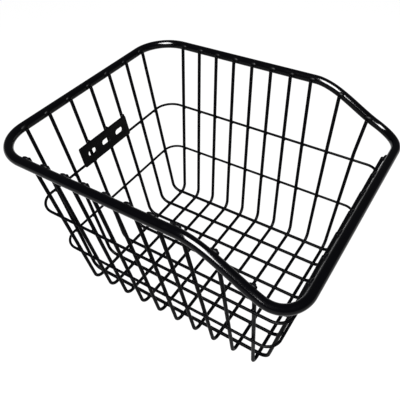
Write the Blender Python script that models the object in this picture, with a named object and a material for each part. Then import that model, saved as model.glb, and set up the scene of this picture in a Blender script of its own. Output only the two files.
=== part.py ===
"""Handlebar basket: welded steel wires under a tube rim, with a slotted mounting plate.

Metres, +Z up. X runs across the basket, and +Y points at the rider's side, where the
mounting plate is. The basket stands on its crosswise floor wires at Z = 0, and the
origin is under the middle of the rim.
"""

import math

import bpy
from mathutils import Quaternion, Vector

# Stock
WIRE_RADIUS = 0.0020
RING_RADIUS = 0.0015
RIM_RADIUS = 0.0050
WELD_GAP = 0.0003

# Rim, measured on the tube's centre line
RIM_WIDTH = 0.282
RIM_LENGTH = 0.338
RIM_HEIGHT = 0.218
FRONT_RIM_HEIGHT = 0.175
RIM_REAR_CORNER = 0.043
RIM_FRONT_CORNER = 0.031
DIP_LENGTH = 0.106
DIP_END_MARGIN = 0.0035

# Crosswise wires: their floor grid, and where their ends stand along the rim's straight
# sides. The two front gaps between the ends are wider than the others.
CROSS_COUNT = 10
CROSS_PITCH = 0.0255
CROSS_MIDDLE_Y = -0.0012
CROSS_TOP_REAR_MARGIN = 0.0045
CROSS_TOP_FRONT_MARGIN = 0.0100
WIDE_TOP_GAPS = 2
WIDE_TOP_GAP = 1.4

# Lengthwise wires: their floor grid, and how far the outermost ends stand past the start
# of the rim's rear corners
LONG_COUNT = 7
LONG_PITCH = 0.030
LONG_TOP_PAST_CORNER = 0.001

# Walls: how far outside the outermost floor wire each wall's line meets the floor
SIDE_WALL_MARGIN = 0.0115
REAR_WALL_MARGIN = 0.01075
FRONT_WALL_MARGIN = 0.01025
FLOOR_BEND = 0.012

# Rings outside the walls
UPPER_RING_Z = 0.1355
LOWER_RING_Z = 0.071
UPPER_RING_REAR_CORNER = 0.024
LOWER_RING_REAR_CORNER = 0.020
RING_FRONT_CORNER = 0.016

# Wire ends: how far they stand above the rim's centre line, and where the wires
# under the dip leave the wall's line, above the upper ring
END_RISE = 0.001
KINK_ABOVE_RING = 0.012

# Mounting plate
PLATE_LENGTH = 0.084
PLATE_HEIGHT = 0.026
PLATE_THICKNESS = 0.0025
PLATE_CORNER = 0.002
PLATE_X = -0.0083
PLATE_Z = 0.1507
SLOT_COUNT = 3
SLOT_LENGTH = 0.0135
SLOT_WIDTH = 0.0070
SLOT_PITCH = 0.0250

# How finely bends, the rim's dip and the tubes are drawn
BEND_STEPS = 5
CORNER_STEPS = 8
DIP_STATIONS = 12
WIRE_SIDES = 8
RIM_SIDES = 16

SEAT = RIM_RADIUS + WELD_GAP + WIRE_RADIUS
CROSS_Z = WIRE_RADIUS
LONG_Z = CROSS_Z + 2 * WIRE_RADIUS + WELD_GAP
HALF_GRID_LENGTH = (CROSS_COUNT - 1) / 2 * CROSS_PITCH
HALF_GRID_WIDTH = (LONG_COUNT - 1) / 2 * LONG_PITCH
DIP_END_Y = DIP_END_MARGIN - RIM_LENGTH / 2
DIP_START_Y = DIP_END_Y + DIP_LENGTH
STEEL_COLOR = (0.012, 0.012, 0.014, 1.0)


def smooth_step(share):
    share = min(max(share, 0.0), 1.0)
    return share * share * (3 - 2 * share)


def rim_height(y):
    """Height of the rim's centre line, which dips towards the front on both long sides."""
    dip = smooth_step((DIP_START_Y - y) / (DIP_START_Y - DIP_END_Y))
    return RIM_HEIGHT - (RIM_HEIGHT - FRONT_RIM_HEIGHT) * dip


class Wall:
    """A flared wall: the line of its wires' centres, from the floor to the rim's inner side."""

    def __init__(self, floor_at, rim_at, rim_z):
        reach = Vector((rim_at - floor_at, rim_z - CROSS_Z))
        self.angle = math.atan2(reach.x, reach.y) - math.asin(SEAT / reach.length)
        self.floor_at = floor_at

    def wire_at(self, z):
        """Distance of the wires' centres from the middle of the basket at height z."""
        return self.floor_at + (z - CROSS_Z) * math.tan(self.angle)

    def ring_at(self, z):
        """Distance of a ring's centre, outside the wires, at height z."""
        return self.wire_at(z) + (WIRE_RADIUS + WELD_GAP + RING_RADIUS) / math.cos(self.angle)


SIDE_WALL = Wall(HALF_GRID_WIDTH + SIDE_WALL_MARGIN, RIM_WIDTH / 2, RIM_HEIGHT)
REAR_WALL = Wall(
    HALF_GRID_LENGTH + CROSS_MIDDLE_Y + REAR_WALL_MARGIN, RIM_LENGTH / 2, RIM_HEIGHT
)
FRONT_WALL = Wall(
    HALF_GRID_LENGTH - CROSS_MIDDLE_Y + FRONT_WALL_MARGIN, RIM_LENGTH / 2, FRONT_RIM_HEIGHT
)


def arc(before, corner, after, radius, steps):
    """The bend of this radius that joins two straight stretches at a corner."""
    back = (before - corner).normalized()
    ahead = (after - corner).normalized()
    half = back.angle(ahead) / 2
    centre = corner + (back + ahead).normalized() * radius / math.sin(half)
    spoke = corner + back * radius / math.tan(half) - centre
    axis = ahead.cross(back).normalized()
    turn = math.pi - 2 * half
    points = []
    for step in range(steps + 1):
        turned = spoke.copy()
        turned.rotate(Quaternion(axis, turn * step / steps))
        points.append(centre + turned)
    return points


def loop_path(left, right, front, rear, front_corner, rear_corner):
    """A level rounded rectangle, drawn counterclockwise from the right rear corner."""
    corners = [
        (Vector((right, rear, 0)), rear_corner),
        (Vector((left, rear, 0)), rear_corner),
        (Vector((left, front, 0)), front_corner),
        (Vector((right, front, 0)), front_corner),
    ]
    path = []
    for i, (corner, radius) in enumerate(corners):
        before = corners[i - 1][0]
        after = corners[(i + 1) % 4][0]
        path += arc(before, corner, after, radius, CORNER_STEPS)
    return path


def steel(name):
    material = bpy.data.materials.new(name)
    material.use_nodes = True
    shader = material.node_tree.nodes["Principled BSDF"]
    shader.inputs["Base Color"].default_value = STEEL_COLOR
    shader.inputs["Roughness"].default_value = 0.22
    shader.inputs["Metallic"].default_value = 0.0
    return material


def rod(name, path, radius, sides, closed=False):
    """A round rod along a path, with flat ends."""
    curve = bpy.data.curves.new(name, "CURVE")
    curve.dimensions = "3D"
    curve.twist_mode = "Z_UP" if closed else "MINIMUM"
    spline = curve.splines.new("POLY")
    spline.points.add(len(path) - 1)
    for point, place in zip(spline.points, path):
        point.co = (*place, 1.0)
    spline.use_cyclic_u = closed
    spline.use_smooth = True
    curve.bevel_depth = radius
    curve.bevel_resolution = (sides - 4) // 2
    curve.use_fill_caps = not closed
    curve.materials.append(steel(name + "_coating"))
    piece = bpy.data.objects.new(name, curve)
    bpy.context.collection.objects.link(piece)
    return piece


def make_rim():
    """The tube around the mouth, with extra stations where its long sides dip."""
    half_width = RIM_WIDTH / 2
    half_length = RIM_LENGTH / 2
    plan = loop_path(
        -half_width, half_width, -half_length, half_length, RIM_FRONT_CORNER, RIM_REAR_CORNER
    )
    dip_end = RIM_FRONT_CORNER - half_length
    stations = [
        DIP_START_Y + (dip_end - DIP_START_Y) * i / DIP_STATIONS for i in range(DIP_STATIONS)
    ]
    rear_points = 2 * (CORNER_STEPS + 1)
    left_side = [Vector((-half_width, y, 0)) for y in stations]
    right_side = [Vector((half_width, y, 0)) for y in reversed(stations)]
    path = plan[:rear_points] + left_side + plan[rear_points:] + right_side
    for point in path:
        point.z = rim_height(point.y)
    rod("rim", path, RIM_RADIUS, RIM_SIDES, closed=True)


def make_ring(name, z, rear_corner):
    """A level hoop around the outside of the four walls."""
    side = SIDE_WALL.ring_at(z)
    path = loop_path(
        -side, side, -FRONT_WALL.ring_at(z), REAR_WALL.ring_at(z), RING_FRONT_CORNER, rear_corner
    )
    for point in path:
        point.z = z
    rod(name, path, RING_RADIUS, WIRE_SIDES, closed=True)


def cross_top(number):
    """Where along the rim's long side a crosswise wire ends."""
    rear = RIM_LENGTH / 2 - RIM_REAR_CORNER - CROSS_TOP_REAR_MARGIN
    front = RIM_FRONT_CORNER + CROSS_TOP_FRONT_MARGIN - RIM_LENGTH / 2
    even_gaps = CROSS_COUNT - 1 - WIDE_TOP_GAPS
    gap = (rear - front) / (even_gaps + WIDE_TOP_GAPS * WIDE_TOP_GAP)
    return rear - gap * (number + max(number - even_gaps, 0) * (WIDE_TOP_GAP - 1))


def make_cross_wire(number):
    """A U of wire across the basket: down one long side, over the floor, up the other.

    Under the dip the legs leave the wall's line above the upper ring to meet the rim.
    """
    floor_y = CROSS_MIDDLE_Y + HALF_GRID_LENGTH - number * CROSS_PITCH
    top_y = cross_top(number)
    rim_z = rim_height(top_y)

    def place(z, x):
        share = (z - CROSS_Z) / (RIM_HEIGHT - CROSS_Z)
        return Vector((x, floor_y + (top_y - floor_y) * share, z))

    def leg_place(z):
        return place(z, SIDE_WALL.wire_at(z))

    kink = leg_place(UPPER_RING_Z + KINK_ABOVE_RING)
    end = Vector((SIDE_WALL.wire_at(RIM_HEIGHT), top_y, rim_z))
    rise = (end - kink).normalized()
    end += rise * END_RISE / rise.z
    corner = leg_place(CROSS_Z)
    other_corner = corner * Vector((-1, 1, 1))
    bend = arc(kink, corner, other_corner, FLOOR_BEND, BEND_STEPS)
    leg = [end, kink] + bend
    path = leg + [point * Vector((-1, 1, 1)) for point in reversed(leg)]
    rod(f"cross_wire_{number + 1:02d}", path, WIRE_RADIUS, WIRE_SIDES)


def make_long_wire(number):
    """A U of wire along the basket: down the rider's side, over the floor, up the front."""
    floor_x = number * LONG_PITCH - HALF_GRID_WIDTH
    outermost_top = RIM_WIDTH / 2 - RIM_REAR_CORNER + LONG_TOP_PAST_CORNER
    top_x = floor_x * outermost_top / HALF_GRID_WIDTH

    def leg(wall, toward, rim_z):
        def place(z):
            share = (z - LONG_Z) / (RIM_HEIGHT - LONG_Z)
            return Vector((floor_x + (top_x - floor_x) * share, toward * wall.wire_at(z), z))

        end = place(rim_z + END_RISE)
        corner = place(LONG_Z)
        inward = corner - Vector((0, toward * HALF_GRID_LENGTH, 0))
        return [end] + arc(end, corner, inward, FLOOR_BEND, BEND_STEPS)

    rear = leg(REAR_WALL, 1, RIM_HEIGHT)
    front = leg(FRONT_WALL, -1, FRONT_RIM_HEIGHT)
    path = rear + front[::-1]
    rod(f"long_wire_{number + 1:02d}", path, WIRE_RADIUS, WIRE_SIDES)


def outline(curve, length, height, corner, middle_x=0.0):
    """Adds a rounded rectangle to a flat curve."""
    right = length / 2
    top = height / 2
    path = loop_path(-right, right, -top, top, corner, corner)
    spline = curve.splines.new("POLY")
    spline.points.add(len(path) - 1)
    for point, place in zip(spline.points, path):
        point.co = (place.x + middle_x, place.y, 0, 1)
    spline.use_cyclic_u = True


def make_plate():
    """The flat plate on the inner side of the rider's wall, with a row of round-ended slots."""
    curve = bpy.data.curves.new("mounting_plate", "CURVE")
    curve.dimensions = "2D"
    curve.fill_mode = "BOTH"
    curve.extrude = PLATE_THICKNESS / 2
    outline(curve, PLATE_LENGTH, PLATE_HEIGHT, PLATE_CORNER)
    for i in range(SLOT_COUNT):
        middle_x = (i - (SLOT_COUNT - 1) / 2) * SLOT_PITCH
        outline(curve, SLOT_LENGTH, SLOT_WIDTH, SLOT_WIDTH / 2 * 0.999, middle_x)
    curve.materials.append(steel("mounting_plate_coating"))
    plate = bpy.data.objects.new("mounting_plate", curve)
    bpy.context.collection.objects.link(plate)
    inward = WIRE_RADIUS + WELD_GAP + PLATE_THICKNESS / 2
    tilt = REAR_WALL.angle
    plate.location = (
        PLATE_X,
        REAR_WALL.wire_at(PLATE_Z) - inward * math.cos(tilt),
        PLATE_Z + inward * math.sin(tilt),
    )
    plate.rotation_euler = (math.pi / 2 - tilt, 0, 0)


def make_basket():
    for old in list(bpy.data.objects):
        bpy.data.objects.remove(old)
    make_rim()
    make_ring("upper_ring", UPPER_RING_Z, UPPER_RING_REAR_CORNER)
    make_ring("lower_ring", LOWER_RING_Z, LOWER_RING_REAR_CORNER)
    for number in range(CROSS_COUNT):
        make_cross_wire(number)
    for number in range(LONG_COUNT):
        make_long_wire(number)
    make_plate()


make_basket()
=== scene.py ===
"""Finished look of a handlebar basket: coated steel wires welded under a tube rim."""

import math

import bmesh
import bpy
from mathutils import Matrix, Quaternion, Vector


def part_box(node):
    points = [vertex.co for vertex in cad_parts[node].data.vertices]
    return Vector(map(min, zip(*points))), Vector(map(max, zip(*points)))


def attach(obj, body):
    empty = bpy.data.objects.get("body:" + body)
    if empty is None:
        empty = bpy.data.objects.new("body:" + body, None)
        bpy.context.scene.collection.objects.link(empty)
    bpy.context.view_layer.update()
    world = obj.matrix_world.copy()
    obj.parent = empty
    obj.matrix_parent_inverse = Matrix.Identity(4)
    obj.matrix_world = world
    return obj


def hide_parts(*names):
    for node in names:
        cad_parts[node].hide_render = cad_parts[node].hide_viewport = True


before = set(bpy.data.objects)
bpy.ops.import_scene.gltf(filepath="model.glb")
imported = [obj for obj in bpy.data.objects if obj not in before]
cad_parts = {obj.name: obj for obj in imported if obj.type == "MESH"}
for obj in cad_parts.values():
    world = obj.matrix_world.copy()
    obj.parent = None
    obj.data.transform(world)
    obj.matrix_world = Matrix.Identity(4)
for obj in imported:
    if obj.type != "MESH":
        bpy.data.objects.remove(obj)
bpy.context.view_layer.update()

# ---------------------------------------------------------------- sizes, in metres

WIRE_RADIUS = 0.0020
RING_RADIUS = 0.0015
TUBE_RADIUS = 0.0050
WELD_GAP = 0.0003
SEAT = TUBE_RADIUS + WELD_GAP + WIRE_RADIUS
END_RISE = 0.0005
FRONT_END_RISE = -0.0022
END_BEVEL = 0.0008

RIM_REAR_CORNER = 0.043
RIM_FRONT_CORNER = 0.031
DIP_LENGTH = 0.106
DIP_END_MARGIN = 0.0035

CROSS_COUNT = 10
CROSS_PITCH = 0.0255
CROSS_MIDDLE_Y = -0.0012
CROSS_TOP_REAR_MARGIN = 0.0045
CROSS_TOP_FRONT_MARGIN = 0.0100
WIDE_TOP_GAPS = 2
WIDE_TOP_GAP = 1.4

LONG_COUNT = 7
LONG_PITCH = 0.030
LONG_TOP_PAST_CORNER = 0.001

SIDE_WALL_MARGIN = 0.0115
REAR_WALL_MARGIN = 0.01075
FRONT_WALL_MARGIN = 0.01025
FLOOR_BEND = 0.012
KINK_ABOVE_RING = 0.012
UPPER_RING_REAR_CORNER = 0.024
LOWER_RING_REAR_CORNER = 0.020
RING_FRONT_CORNER = 0.016

PLATE_LENGTH = 0.084
PLATE_HEIGHT = 0.026
PLATE_THICKNESS = 0.0025
PLATE_CORNER = 0.002
PLATE_EDGE = 0.0005
SLOT_LENGTH = 0.0135
SLOT_WIDTH = 0.0070
SLOT_PITCH = 0.0250

# Weld beads: half their length, half their height and half their thickness
FLOOR_BEAD = 0.0025
FLOOR_BEAD_THICKNESS = 0.0013
RING_BEAD = (0.0023, 0.0020, 0.0012)
RIM_BEAD = (0.0052, 0.0030, 0.0024)
PLATE_BEAD = (0.0030, 0.0022, 0.0016)
RIM_BEAD_SINK = 0.0002
RIM_BEAD_LIFT = 0.0008
FRONT_BEAD_LIFT = -0.0028

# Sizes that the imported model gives
rim_low, rim_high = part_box("rim")
RIM_HALF_WIDTH = (rim_high.x - rim_low.x) / 2 - TUBE_RADIUS
RIM_HALF_LENGTH = (rim_high.y - rim_low.y) / 2 - TUBE_RADIUS
RIM_HEIGHT = rim_high.z - TUBE_RADIUS
FRONT_RIM_HEIGHT = rim_low.z + TUBE_RADIUS
UPPER_RING_Z = sum(corner.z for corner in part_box("upper_ring")) / 2
LOWER_RING_Z = sum(corner.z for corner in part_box("lower_ring")) / 2
plate_low, plate_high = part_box("mounting_plate")
PLATE_MIDDLE = (plate_low + plate_high) / 2

CROSS_Z = WIRE_RADIUS
LONG_Z = CROSS_Z + 2 * WIRE_RADIUS + WELD_GAP
HALF_GRID_LENGTH = (CROSS_COUNT - 1) / 2 * CROSS_PITCH
HALF_GRID_WIDTH = (LONG_COUNT - 1) / 2 * LONG_PITCH
DIP_END_Y = DIP_END_MARGIN - RIM_HALF_LENGTH
DIP_START_Y = DIP_END_Y + DIP_LENGTH

# How finely round shapes are drawn
BEND_STEPS = 14
CORNER_STEPS = 24
DIP_STATIONS = 36
WIRE_SIDES = 24
RIM_SIDES = 48


# ---------------------------------------------------------------- lines that the steel follows

def smooth_step(share):
    share = min(max(share, 0.0), 1.0)
    return share * share * (3 - 2 * share)


def rim_height(y):
    """Height of the rim's centre line, which dips towards the front on both long sides."""
    dip = smooth_step((DIP_START_Y - y) / DIP_LENGTH)
    return RIM_HEIGHT - (RIM_HEIGHT - FRONT_RIM_HEIGHT) * dip


class Wall:
    """A flared wall: the line of its wires' centres, from the floor to the rim's inner side."""

    def __init__(self, floor_at, rim_at, rim_z):
        reach = Vector((rim_at - floor_at, rim_z - CROSS_Z))
        self.angle = math.atan2(reach.x, reach.y) - math.asin(SEAT / reach.length)
        self.floor_at = floor_at

    def wire_at(self, z):
        return self.floor_at + (z - CROSS_Z) * math.tan(self.angle)

    def ring_at(self, z):
        return self.wire_at(z) + (WIRE_RADIUS + WELD_GAP + RING_RADIUS) / math.cos(self.angle)


SIDE_WALL = Wall(HALF_GRID_WIDTH + SIDE_WALL_MARGIN, RIM_HALF_WIDTH, RIM_HEIGHT)
REAR_WALL = Wall(
    HALF_GRID_LENGTH + CROSS_MIDDLE_Y + REAR_WALL_MARGIN, RIM_HALF_LENGTH, RIM_HEIGHT
)
FRONT_WALL = Wall(
    HALF_GRID_LENGTH - CROSS_MIDDLE_Y + FRONT_WALL_MARGIN, RIM_HALF_LENGTH, FRONT_RIM_HEIGHT
)


def arc(before, corner, after, radius, steps):
    """The bend of this radius that joins two straight stretches at a corner."""
    back = (before - corner).normalized()
    ahead = (after - corner).normalized()
    half = back.angle(ahead) / 2
    centre = corner + (back + ahead).normalized() * radius / math.sin(half)
    spoke = corner + back * radius / math.tan(half) - centre
    axis = ahead.cross(back).normalized()
    turn = math.pi - 2 * half
    points = []
    for step in range(steps + 1):
        turned = spoke.copy()
        turned.rotate(Quaternion(axis, turn * step / steps))
        points.append(centre + turned)
    return points


def loop_path(left, right, front, rear, front_corner, rear_corner, steps=CORNER_STEPS):
    """A level rounded rectangle, drawn counterclockwise from the right rear corner."""
    corners = [
        (Vector((right, rear, 0)), rear_corner),
        (Vector((left, rear, 0)), rear_corner),
        (Vector((left, front, 0)), front_corner),
        (Vector((right, front, 0)), front_corner),
    ]
    path = []
    for i, (corner, radius) in enumerate(corners):
        before = corners[i - 1][0]
        after = corners[(i + 1) % 4][0]
        path += arc(before, corner, after, radius, steps)
    return path


def rim_path():
    plan = loop_path(
        -RIM_HALF_WIDTH, RIM_HALF_WIDTH, -RIM_HALF_LENGTH, RIM_HALF_LENGTH,
        RIM_FRONT_CORNER, RIM_REAR_CORNER,
    )
    straight_end = RIM_FRONT_CORNER - RIM_HALF_LENGTH
    stations = [
        DIP_START_Y + (straight_end - DIP_START_Y) * i / DIP_STATIONS
        for i in range(DIP_STATIONS)
    ]
    rear_points = 2 * (CORNER_STEPS + 1)
    left_side = [Vector((-RIM_HALF_WIDTH, y, 0)) for y in stations]
    right_side = [Vector((RIM_HALF_WIDTH, y, 0)) for y in reversed(stations)]
    path = plan[:rear_points] + left_side + plan[rear_points:] + right_side
    for point in path:
        point.z = rim_height(point.y)
    return path


def ring_path(z, rear_corner):
    side = SIDE_WALL.ring_at(z)
    path = loop_path(
        -side, side, -FRONT_WALL.ring_at(z), REAR_WALL.ring_at(z), RING_FRONT_CORNER, rear_corner
    )
    for point in path:
        point.z = z
    return path


def cross_floor(number):
    return CROSS_MIDDLE_Y + HALF_GRID_LENGTH - number * CROSS_PITCH


def cross_top(number):
    """Where along the rim's long side a crosswise wire ends."""
    rear = RIM_HALF_LENGTH - RIM_REAR_CORNER - CROSS_TOP_REAR_MARGIN
    front = RIM_FRONT_CORNER + CROSS_TOP_FRONT_MARGIN - RIM_HALF_LENGTH
    even_gaps = CROSS_COUNT - 1 - WIDE_TOP_GAPS
    gap = (rear - front) / (even_gaps + WIDE_TOP_GAPS * WIDE_TOP_GAP)
    return rear - gap * (number + max(number - even_gaps, 0) * (WIDE_TOP_GAP - 1))


def cross_leg(number, z):
    """A point on a crosswise wire's right leg, where it lies in the wall."""
    share = (z - CROSS_Z) / (RIM_HEIGHT - CROSS_Z)
    floor_y = cross_floor(number)
    y = floor_y + (cross_top(number) - floor_y) * share
    return Vector((SIDE_WALL.wire_at(z), y, z))


def cross_end(number):
    """Where the right leg's centre passes the rim's centre line, and which way it points."""
    kink = cross_leg(number, UPPER_RING_Z + KINK_ABOVE_RING)
    top_y = cross_top(number)
    seat = Vector((SIDE_WALL.wire_at(RIM_HEIGHT), top_y, rim_height(top_y)))
    return seat, (seat - kink).normalized()


def mirrored(point):
    return Vector((-point.x, point.y, point.z))


def cross_path(number):
    seat, rise = cross_end(number)
    kink = cross_leg(number, UPPER_RING_Z + KINK_ABOVE_RING)
    corner = cross_leg(number, CROSS_Z)
    bend = arc(kink, corner, mirrored(corner), FLOOR_BEND, BEND_STEPS)
    leg = [seat + rise * END_RISE / rise.z, kink] + bend
    return leg + [mirrored(point) for point in reversed(leg)]


def long_floor(number):
    return number * LONG_PITCH - HALF_GRID_WIDTH


def long_leg(number, wall, toward, z):
    """A point on a lengthwise wire's leg; toward is 1 for the rider's wall and -1 for the front."""
    floor_x = long_floor(number)
    outermost_top = RIM_HALF_WIDTH - RIM_REAR_CORNER + LONG_TOP_PAST_CORNER
    top_x = floor_x * outermost_top / HALF_GRID_WIDTH
    share = (z - LONG_Z) / (RIM_HEIGHT - LONG_Z)
    return Vector((floor_x + (top_x - floor_x) * share, toward * wall.wire_at(z), z))


def long_path(number):
    legs = []
    for wall, toward, end_z in (
        (REAR_WALL, 1, RIM_HEIGHT + END_RISE), (FRONT_WALL, -1, FRONT_RIM_HEIGHT + FRONT_END_RISE)
    ):
        end = long_leg(number, wall, toward, end_z)
        corner = long_leg(number, wall, toward, LONG_Z)
        inward = corner - Vector((0, toward * HALF_GRID_LENGTH, 0))
        legs.append([end] + arc(end, corner, inward, FLOOR_BEND, BEND_STEPS))
    return legs[0] + legs[1][::-1]


# ---------------------------------------------------------------- building pieces

def finish_piece(name, bm, material, nodes=()):
    """Turns a bmesh into a smooth piece that rides on the basket."""
    mesh = bpy.data.meshes.new(name)
    bm.to_mesh(mesh)
    bm.free()
    mesh.shade_smooth()
    mesh.materials.append(material)
    piece = bpy.data.objects.new(name, mesh)
    bpy.context.scene.collection.objects.link(piece)
    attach(piece, "root")
    if nodes:
        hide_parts(*nodes)
    return piece


def directions(path, closed):
    """The way the path runs at each of its points."""
    count = len(path)
    ways = []
    for i in range(count):
        before = path[i - 1] if closed or i > 0 else path[0]
        after = path[(i + 1) % count] if closed or i < count - 1 else path[-1]
        here = path[i]
        arriving = (here - before).normalized()
        leaving = (after - here).normalized()
        ways.append((arriving + leaving).normalized())
    return ways


def swept(path, radius, sides, closed=False):
    """A round bar along a path. An open bar has flat ends with a rounded edge."""
    bm = bmesh.new()
    ways = directions(path, closed)
    place = Matrix.Translation(path[0]) @ ways[0].to_track_quat("Z", "Y").to_matrix().to_4x4()
    bmesh.ops.create_circle(bm, segments=sides, radius=radius, matrix=place)
    first = list(bm.edges)
    loop = first
    for i in range(1, len(path)):
        grown = bmesh.ops.extrude_edge_only(bm, edges=loop)["geom"]
        fresh = {item for item in grown if isinstance(item, bmesh.types.BMVert)}
        loop = [
            item for item in grown
            if isinstance(item, bmesh.types.BMEdge) and set(item.verts) <= fresh
        ]
        turn = ways[i - 1].rotation_difference(ways[i]).to_matrix().to_4x4()
        move = Matrix.Translation(path[i]) @ turn @ Matrix.Translation(-path[i - 1])
        bmesh.ops.transform(bm, matrix=move, verts=list(fresh))
    if closed:
        bmesh.ops.bridge_loops(bm, edges=first + loop)
    else:
        for end in (first, loop):
            bmesh.ops.contextual_create(bm, geom=end)
        bmesh.ops.bevel(
            bm, geom=first + loop, offset=END_BEVEL, segments=3, profile=0.5,
            affect="EDGES", material=-1,
        )
    bmesh.ops.recalc_face_normals(bm, faces=bm.faces)
    return bm


def add_bead(bm, centre, along, across, sizes):
    """One weld bead: a low mound that fills the corners between two crossing bars."""
    along = along.normalized()
    across = (across - along * across.dot(along)).normalized()
    up = along.cross(across)
    turn = Matrix((along, across, up)).transposed().to_4x4()
    scale = Matrix.Diagonal((*sizes, 1.0))
    bmesh.ops.create_icosphere(
        bm, subdivisions=2, radius=1.0, matrix=Matrix.Translation(centre) @ turn @ scale
    )


def uneven(number, spread):
    """A share near 1 that differs from bead to bead."""
    return 1 + spread * math.sin(number * 12.9898) * math.cos(number * 4.1414)


def bead_sizes(sizes, share):
    """A bead's sizes with its length and height scaled by this share."""
    length, height, thickness = sizes
    return length * share, height * share, thickness


# ---------------------------------------------------------------- finishes

def powder_coat(name, tint, shine, gloss, peel, grain_scale):
    """Glossy black powder coat with fine orange peel and faint clouding."""
    material = bpy.data.materials.new(name)
    material.use_nodes = True
    nodes = material.node_tree.nodes
    links = material.node_tree.links
    shader = nodes["Principled BSDF"]
    shader.inputs["Metallic"].default_value = 0.0
    shader.inputs["Specular IOR Level"].default_value = shine

    place = nodes.new("ShaderNodeTexCoord")

    def noise(scale, detail):
        texture = nodes.new("ShaderNodeTexNoise")
        texture.inputs["Scale"].default_value = scale
        texture.inputs["Detail"].default_value = detail
        links.new(place.outputs["Object"], texture.inputs["Vector"])
        return texture.outputs["Fac"]

    def spread(value, low, high):
        ramp = nodes.new("ShaderNodeMapRange")
        ramp.inputs["From Min"].default_value = 0.3
        ramp.inputs["From Max"].default_value = 0.7
        ramp.inputs["To Min"].default_value = low
        ramp.inputs["To Max"].default_value = high
        links.new(value, ramp.inputs["Value"])
        return ramp.outputs["Result"]

    clouds = noise(38.0, 3.0)
    tone = nodes.new("ShaderNodeMix")
    tone.data_type = "RGBA"
    tone.inputs["A"].default_value = (*(0.75 * part for part in tint), 1.0)
    tone.inputs["B"].default_value = (*(1.35 * part for part in tint), 1.0)
    links.new(spread(clouds, 0.0, 1.0), tone.inputs["Factor"])
    links.new(tone.outputs["Result"], shader.inputs["Base Color"])

    smears = noise(120.0, 4.0)
    links.new(spread(smears, gloss * 0.8, gloss * 1.35), shader.inputs["Roughness"])

    waves = nodes.new("ShaderNodeBump")
    waves.inputs["Strength"].default_value = peel
    waves.inputs["Distance"].default_value = 0.0004
    links.new(noise(420.0, 2.0), waves.inputs["Height"])
    grain = nodes.new("ShaderNodeBump")
    grain.inputs["Strength"].default_value = peel * 0.6
    grain.inputs["Distance"].default_value = 0.00012
    links.new(noise(grain_scale, 3.0), grain.inputs["Height"])
    links.new(waves.outputs["Normal"], grain.inputs["Normal"])
    links.new(grain.outputs["Normal"], shader.inputs["Normal"])
    return material


BLACK = (0.0002, 0.0002, 0.0004)
rim_coat = powder_coat("rim_black_powder_coat", BLACK, 0.20, 0.13, 0.08, 1800.0)
wire_coat = powder_coat("wire_black_powder_coat", BLACK, 0.04, 0.36, 0.12, 2400.0)
plate_coat = powder_coat("plate_black_powder_coat", BLACK, 0.08, 0.34, 0.20, 2100.0)
weld_coat = powder_coat("weld_black_powder_coat", BLACK, 0.07, 0.42, 0.30, 1500.0)


# ---------------------------------------------------------------- the basket

def make_rim():
    bm = swept(rim_path(), TUBE_RADIUS, RIM_SIDES, closed=True)
    finish_piece("rim_tube", bm, rim_coat, ["rim"])


def make_rings():
    for name, z, corner in (
        ("upper_ring", UPPER_RING_Z, UPPER_RING_REAR_CORNER),
        ("lower_ring", LOWER_RING_Z, LOWER_RING_REAR_CORNER),
    ):
        bm = swept(ring_path(z, corner), RING_RADIUS, WIRE_SIDES, closed=True)
        finish_piece(name + "_wire", bm, wire_coat, [name])


def make_wires():
    for number in range(CROSS_COUNT):
        bm = swept(cross_path(number), WIRE_RADIUS, WIRE_SIDES)
        node = f"cross_wire_{number + 1:02d}"
        finish_piece(node + "_bar", bm, wire_coat, [node])
    for number in range(LONG_COUNT):
        bm = swept(long_path(number), WIRE_RADIUS, WIRE_SIDES)
        node = f"long_wire_{number + 1:02d}"
        finish_piece(node + "_bar", bm, wire_coat, [node])


def outline(curve, length, height, corner, middle_x=0.0):
    """Adds a rounded rectangle to a flat curve."""
    right = length / 2
    top = height / 2
    path = loop_path(-right, right, -top, top, corner, corner, steps=12)
    spline = curve.splines.new("POLY")
    spline.points.add(len(path) - 1)
    for point, place in zip(spline.points, path):
        point.co = (place.x + middle_x, place.y, 0, 1)
    spline.use_cyclic_u = True


def make_plate():
    """The stamped plate with three slots, its edges rounded by stamping and coating."""
    curve = bpy.data.curves.new("plate_outline", "CURVE")
    curve.dimensions = "2D"
    curve.fill_mode = "BOTH"
    curve.extrude = PLATE_THICKNESS / 2 - PLATE_EDGE
    curve.bevel_depth = PLATE_EDGE
    curve.bevel_resolution = 3
    curve.offset = -PLATE_EDGE
    outline(curve, PLATE_LENGTH, PLATE_HEIGHT, PLATE_CORNER)
    for i in (-1, 0, 1):
        outline(curve, SLOT_LENGTH, SLOT_WIDTH, SLOT_WIDTH / 2 * 0.999, i * SLOT_PITCH)
    flat = bpy.data.objects.new("plate_outline", curve)
    mesh = bpy.data.meshes.new_from_object(flat)
    bpy.data.objects.remove(flat)
    bm = bmesh.new()
    bm.from_mesh(mesh)
    bpy.data.meshes.remove(mesh)
    bmesh.ops.remove_doubles(bm, verts=bm.verts, dist=0.00001)
    bmesh.ops.recalc_face_normals(bm, faces=bm.faces)
    stand = Matrix.Rotation(math.pi / 2 - REAR_WALL.angle, 4, "X")
    bmesh.ops.transform(bm, matrix=Matrix.Translation(PLATE_MIDDLE) @ stand, verts=bm.verts)
    plate = finish_piece("slotted_plate", bm, plate_coat, ["mounting_plate"])
    plate.data.set_sharp_from_angle(angle=math.radians(50))


def make_floor_welds():
    bm = bmesh.new()
    for i in range(CROSS_COUNT):
        for j in range(LONG_COUNT):
            centre = Vector((long_floor(j), cross_floor(i), 2 * WIRE_RADIUS + WELD_GAP / 2))
            size = FLOOR_BEAD * uneven(i * LONG_COUNT + j, 0.12)
            sizes = (size, size, FLOOR_BEAD_THICKNESS)
            add_bead(bm, centre, Vector((1, 0, 0)), Vector((0, 1, 0)), sizes)
    finish_piece("floor_welds", bm, weld_coat)


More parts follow.
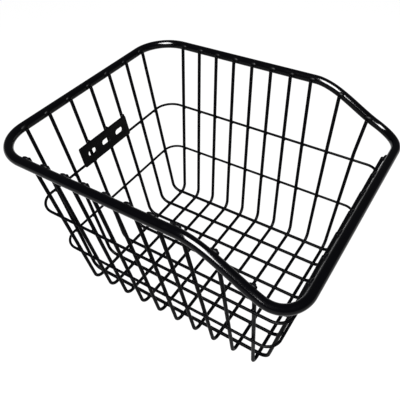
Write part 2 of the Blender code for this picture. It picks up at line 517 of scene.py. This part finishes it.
def make_ring_welds():
    """Beads where each leg of each wire crosses a ring."""
    for name, z in (("upper_ring", UPPER_RING_Z), ("lower_ring", LOWER_RING_Z)):
        bm = bmesh.new()
        count = 0
        legs = []
        for i in range(CROSS_COUNT):
            point = cross_leg(i, z)
            legs.append((point, Vector((1, 0, 0)), SIDE_WALL))
            legs.append((mirrored(point), Vector((-1, 0, 0)), SIDE_WALL))
        for j in range(LONG_COUNT):
            legs.append((long_leg(j, REAR_WALL, 1, z), Vector((0, 1, 0)), REAR_WALL))
            legs.append((long_leg(j, FRONT_WALL, -1, z), Vector((0, -1, 0)), FRONT_WALL))
        for point, outward, wall in legs:
            count += 1
            face = outward * math.cos(wall.angle) - Vector((0, 0, math.sin(wall.angle)))
            centre = point + face * (WIRE_RADIUS + WELD_GAP / 2)
            along = Vector((0, 0, 1)).cross(outward)
            sizes = bead_sizes(RING_BEAD, uneven(count, 0.12))
            add_bead(bm, centre, along, face.cross(along), sizes)
        finish_piece(name + "_welds", bm, weld_coat)


def make_rim_welds():
    """Mounds along the rim's inner side that hold the wires' ends."""
    bm = bmesh.new()
    seats = []
    for i in range(CROSS_COUNT):
        seat, rise = cross_end(i)
        middle = Vector((RIM_HALF_WIDTH, seat.y, rim_height(seat.y)))
        seats.append((seat, middle, rise, RIM_BEAD_LIFT))
        seats.append((mirrored(seat), mirrored(middle), mirrored(rise), RIM_BEAD_LIFT))
    for j in range(LONG_COUNT):
        for wall, toward, rim_z, lift in (
            (REAR_WALL, 1, RIM_HEIGHT, RIM_BEAD_LIFT),
            (FRONT_WALL, -1, FRONT_RIM_HEIGHT, FRONT_BEAD_LIFT),
        ):
            seat = long_leg(j, wall, toward, rim_z)
            middle = Vector((seat.x, toward * RIM_HALF_LENGTH, rim_z))
            rise = (seat - long_leg(j, wall, toward, LONG_Z)).normalized()
            seats.append((seat, middle, rise, lift))
    for count, (seat, middle, rise, lift) in enumerate(seats):
        toward_wire = seat - middle
        toward_wire -= rise * toward_wire.dot(rise)
        toward_wire.normalize()
        centre = middle + toward_wire * (TUBE_RADIUS - RIM_BEAD_SINK) + rise * lift
        along = rise.cross(toward_wire)
        add_bead(bm, centre, along, rise, bead_sizes(RIM_BEAD, uneven(count, 0.15)))
    finish_piece("rim_welds", bm, weld_coat)


def make_plate_welds():
    """Beads where the plate's long edges cross the three wires behind it."""
    bm = bmesh.new()
    tilt = REAR_WALL.angle
    up = Vector((0, math.sin(tilt), math.cos(tilt)))
    inward = Vector((0, -math.cos(tilt), math.sin(tilt)))
    middle_z = PLATE_MIDDLE.z - (WIRE_RADIUS + WELD_GAP + PLATE_THICKNESS / 2) * math.sin(tilt)
    for j in (2, 3, 4):
        for edge in (-1, 1):
            z = middle_z + edge * PLATE_HEIGHT / 2 * math.cos(tilt)
            centre = long_leg(j, REAR_WALL, 1, z) + inward * WIRE_RADIUS
            sizes = bead_sizes(PLATE_BEAD, uneven(j * 2 + edge, 0.15))
            add_bead(bm, centre, Vector((1, 0, 0)), up, sizes)
    finish_piece("plate_welds", bm, weld_coat)


make_rim()
make_rings()
make_wires()
make_plate()
make_floor_welds()
make_ring_welds()
make_rim_welds()
make_plate_welds()


# ---------------------------------------------------------------- floor, light and camera

FLOOR_HALF_SIZE = 30.0
FLOOR_DROP = 0.0002
FLOOR_TONE = 0.02
FLOOR_GLOW = 0.94
SKY = 0.20
DISPLAY_GAMMA = 0.85

LIGHT_AIM = (0.0, 0.0, 0.15)
SOFTBOX_PLACE = (-0.98, -0.36, 1.62)
SOFTBOX_SIZE = (1.40, 1.00)
SOFTBOX_POWER = 300.0
SOFTBOX_TURN = -4.0

CAMERA_PLACE = (-0.35109, -0.23332, 0.50477)
CAMERA_AZIMUTH = -54.809
CAMERA_ELEVATION = 42.869
CAMERA_ROLL = -3.348
CAMERA_LENS = 43.845


def make_floor():
    bm = bmesh.new()
    bmesh.ops.create_grid(bm, x_segments=1, y_segments=1, size=FLOOR_HALF_SIZE)
    bmesh.ops.translate(bm, vec=(0, 0, -FLOOR_DROP), verts=bm.verts)
    mesh = bpy.data.meshes.new("studio_floor")
    bm.to_mesh(mesh)
    bm.free()
    pale = bpy.data.materials.new("pale_floor")
    pale.use_nodes = True
    shader = pale.node_tree.nodes["Principled BSDF"]
    shader.inputs["Base Color"].default_value = (FLOOR_TONE, FLOOR_TONE, FLOOR_TONE, 1.0)
    shader.inputs["Roughness"].default_value = 1.0
    shader.inputs["Specular IOR Level"].default_value = 0.0
    shader.inputs["Emission Color"].default_value = (1.0, 1.0, 1.0, 1.0)
    shader.inputs["Emission Strength"].default_value = FLOOR_GLOW
    mesh.materials.append(pale)
    floor = bpy.data.objects.new("studio_floor", mesh)
    bpy.context.scene.collection.objects.link(floor)


def soft_light(name, place, aim, size, power, turn):
    """A softbox whose second side points along +Y, turned this many degrees towards +X."""
    data = bpy.data.lights.new(name, "AREA")
    data.shape = "RECTANGLE"
    data.size = size[0]
    data.size_y = size[1]
    data.energy = power
    light = bpy.data.objects.new(name, data)
    light.location = place
    shine = (Vector(aim) - Vector(place)).normalized()
    away = math.radians(turn)
    length = Vector((math.sin(away), math.cos(away), 0))
    length = (length - shine * length.dot(shine)).normalized()
    light.matrix_world = Matrix.Translation(place) @ Matrix(
        (length.cross(-shine), length, -shine)
    ).transposed().to_4x4()
    bpy.context.scene.collection.objects.link(light)


def make_studio():
    world = bpy.data.worlds.new("studio")
    world.use_nodes = True
    world.node_tree.nodes["Background"].inputs["Color"].default_value = (1.0, 1.0, 1.0, 1.0)
    world.node_tree.nodes["Background"].inputs["Strength"].default_value = SKY
    bpy.context.scene.world = world
    bpy.context.scene.view_settings.view_transform = "Standard"
    bpy.context.scene.view_settings.gamma = DISPLAY_GAMMA
    soft_light(
        "overhead_softbox", SOFTBOX_PLACE, LIGHT_AIM, SOFTBOX_SIZE, SOFTBOX_POWER, SOFTBOX_TURN
    )


def make_camera():
    """The camera looks down at the basket from the front left."""
    azimuth = math.radians(CAMERA_AZIMUTH)
    elevation = math.radians(CAMERA_ELEVATION)
    roll = math.radians(CAMERA_ROLL)
    back = Vector((
        math.sin(azimuth) * math.cos(elevation),
        -math.cos(azimuth) * math.cos(elevation),
        math.sin(elevation),
    ))
    right = Vector((0, 0, 1)).cross(back).normalized()
    up = back.cross(right)
    tilted_right = right * math.cos(roll) + up * math.sin(roll)
    tilted_up = up * math.cos(roll) - right * math.sin(roll)
    turn = Matrix((tilted_right, tilted_up, back)).transposed()
    data = bpy.data.cameras.new("camera")
    data.lens = CAMERA_LENS
    data.sensor_width = 36.0
    data.clip_start = 0.01
    camera = bpy.data.objects.new("camera", data)
    camera.matrix_world = Matrix.Translation(CAMERA_PLACE) @ turn.to_4x4()
    bpy.context.scene.collection.objects.link(camera)
    bpy.context.scene.camera = camera


make_floor()
make_studio()
make_camera()
